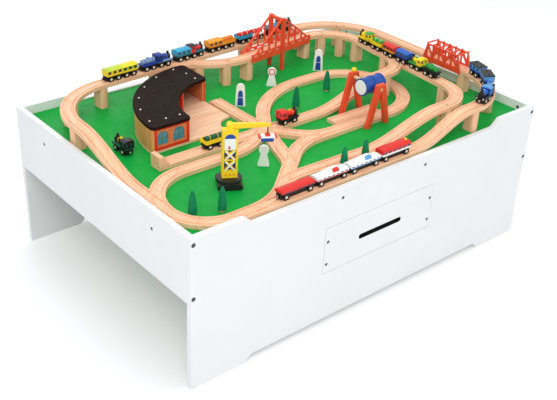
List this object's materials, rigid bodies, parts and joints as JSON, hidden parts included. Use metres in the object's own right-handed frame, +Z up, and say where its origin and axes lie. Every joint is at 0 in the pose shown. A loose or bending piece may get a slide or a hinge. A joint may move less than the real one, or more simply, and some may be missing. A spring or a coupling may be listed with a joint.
{
  "type": "toy train table",
  "caption": "Low white play table with a storage drawer and a green top carrying a wooden railway with bridges, shed, crane, gantry and rolling trains.",
  "frame": {"origin": "on the floor under the middle of the table", "axes": "+X along the table, -Y towards the drawer side, +Z up"},
  "size_m": [1.22, 0.825, 0.5723],
  "materials": {
    "white_lacquer": "satin white lacquer",
    "green_board": "satin green paint",
    "beech": "clear lacquered beech",
    "pale_wood": "bare softwood",
    "warm_wood": "clear lacquered wood",
    "dark_steel": "dark plated steel",
    "bridge_red": "orange-red moulded plastic",
    "shed_brown": "matt brown paint",
    "shed_red": "satin red paint",
    "window_blue": "glossy blue",
    "crane_yellow": "glossy yellow",
    "black_plastic": "matt black",
    "drum_blue": "glossy blue",
    "white_plastic": "glossy white",
    "tree_green": "matt green paint",
    "train_paint": "gloss paint in several colours",
    "wheel_black": "matt black",
    "engine_red": "gloss red paint",
    "wagon_yellow": "gloss yellow paint"
  },
  "bodies": {
    "table": {"front_panel": "white_lacquer", "rear_panel": "white_lacquer", "left_apron": "white_lacquer", "right_apron": "white_lacquer", "play_board": "green_board", "long_cleats": "pale_wood", "end_cleats": "pale_wood", "drawer_runners": "pale_wood", "runner_dowels": "pale_wood", "gantry_shaft": "pale_wood", "corner_bolts": "dark_steel", "barrel_nuts": "dark_steel", "panel_screws": "dark_steel", "ground_track": "beech", "switch_track": "beech", "raised_track": "beech", "ramp_track": "beech", "track_piers": "beech", "buffer_stop": "beech", "shed_base": "beech", "bridge_girders": "bridge_red", "bridge_tower": "bridge_red", "bridge_cables": "bridge_red", "truss_bridge": "bridge_red", "gantry_frames": "bridge_red", "shed_end_walls": "shed_red", "shed_posts": "shed_red", "shed_back_wall": "warm_wood", "shed_windows": "window_blue", "shed_roof": "shed_brown", "crane_base": "black_plastic", "figure_boards": "white_plastic", "trees": "tree_green"},
    "drawer": {"drawer_front": "white_lacquer", "drawer_left_side": "pale_wood", "drawer_right_side": "pale_wood", "drawer_back": "pale_wood", "drawer_floor_panel": "pale_wood", "drawer_screws": "dark_steel"},
    "crane_tower": {"crane_tower": "crane_yellow", "crane_window": "window_blue"},
    "crane_arm": {"crane_arm": "crane_yellow"},
    "crane_load": {"crane_hook": "drum_blue"},
    "tank": {"gantry_drum": "drum_blue", "drum_ends": "white_plastic"},
    "rear_train": {"rear_train_cars": "train_paint", "rear_train_wheels": "wheel_black"},
    "inner_train": {"inner_train_cars": "train_paint", "inner_train_wheels": "wheel_black"},
    "corner_train": {"corner_train_cars": "train_paint", "corner_train_wheels": "wheel_black"},
    "front_train": {"front_train_cars": "train_paint", "front_train_wheels": "wheel_black"},
    "red_engine": {"red_engine": "engine_red", "red_engine_wheels": "wheel_black"},
    "black_engine": {"black_engine": "black_plastic", "black_engine_wheels": "wheel_black"},
    "siding_wagon": {"siding_wagon": "wagon_yellow", "siding_wagon_wheels": "wheel_black"}
  },
  "joints": [
    {"name": "drawer_slide", "type": "slide", "parent": "table", "child": "drawer", "axis": [0, -1, 0], "range_m": [0, 0.3]},
    {"name": "crane_slew", "type": "hinge", "parent": "table", "child": "crane_tower", "pos_m": [-0.368, -0.232, 0.428], "axis": [0, 0, 1], "continuous": true},
    {"name": "crane_luff", "type": "hinge", "parent": "crane_tower", "child": "crane_arm", "pos_m": [-0.368, -0.232, 0.5643], "axis": [-0.5, -0.866, 0], "range_deg": [0, 35]},
    {"name": "load_swing", "type": "hinge", "parent": "crane_arm", "child": "crane_load", "pos_m": [-0.28919, -0.2775, 0.5643], "axis": [-0.5, -0.866, 0], "range_deg": [-35, 0]},
    {"name": "tank_tilt", "type": "hinge", "parent": "table", "child": "tank", "pos_m": [0.172, -0.16484, 0.514], "axis": [0, 1, 0], "range_deg": [-90, 90]},
    {"name": "rear_train_roll", "type": "slide", "parent": "table", "child": "rear_train", "axis": [0.9985, 0.0553, 0], "range_m": [0, 0.03]},
    {"name": "inner_train_roll", "type": "slide", "parent": "table", "child": "inner_train", "axis": [-0.0802, -0.9968, 0], "range_m": [0, 0.025]},
    {"name": "corner_train_roll", "type": "hinge", "parent": "table", "child": "corner_train", "pos_m": [0.37, -0.1825, 0.464], "axis": [0, 0, 1], "range_deg": [-8, 8]},
    {"name": "front_train_roll", "type": "slide", "parent": "table", "child": "front_train", "axis": [1, 0, 0], "range_m": [-0.11, 0.01]},
    {"name": "red_engine_roll", "type": "slide", "parent": "table", "child": "red_engine", "axis": [1, 0, 0], "range_m": [-0.05, 0.05]},
    {"name": "black_engine_roll", "type": "slide", "parent": "table", "child": "black_engine", "axis": [0, 1, 0], "range_m": [-0.04, 0.06]},
    {"name": "siding_wagon_roll", "type": "slide", "parent": "table", "child": "siding_wagon", "axis": [1, 0, 0], "range_m": [-0.1, 0.06]}
  ],
  "couplings": [
    {"joint": "load_swing", "follows": "crane_luff", "ratio": -1}
  ]
}
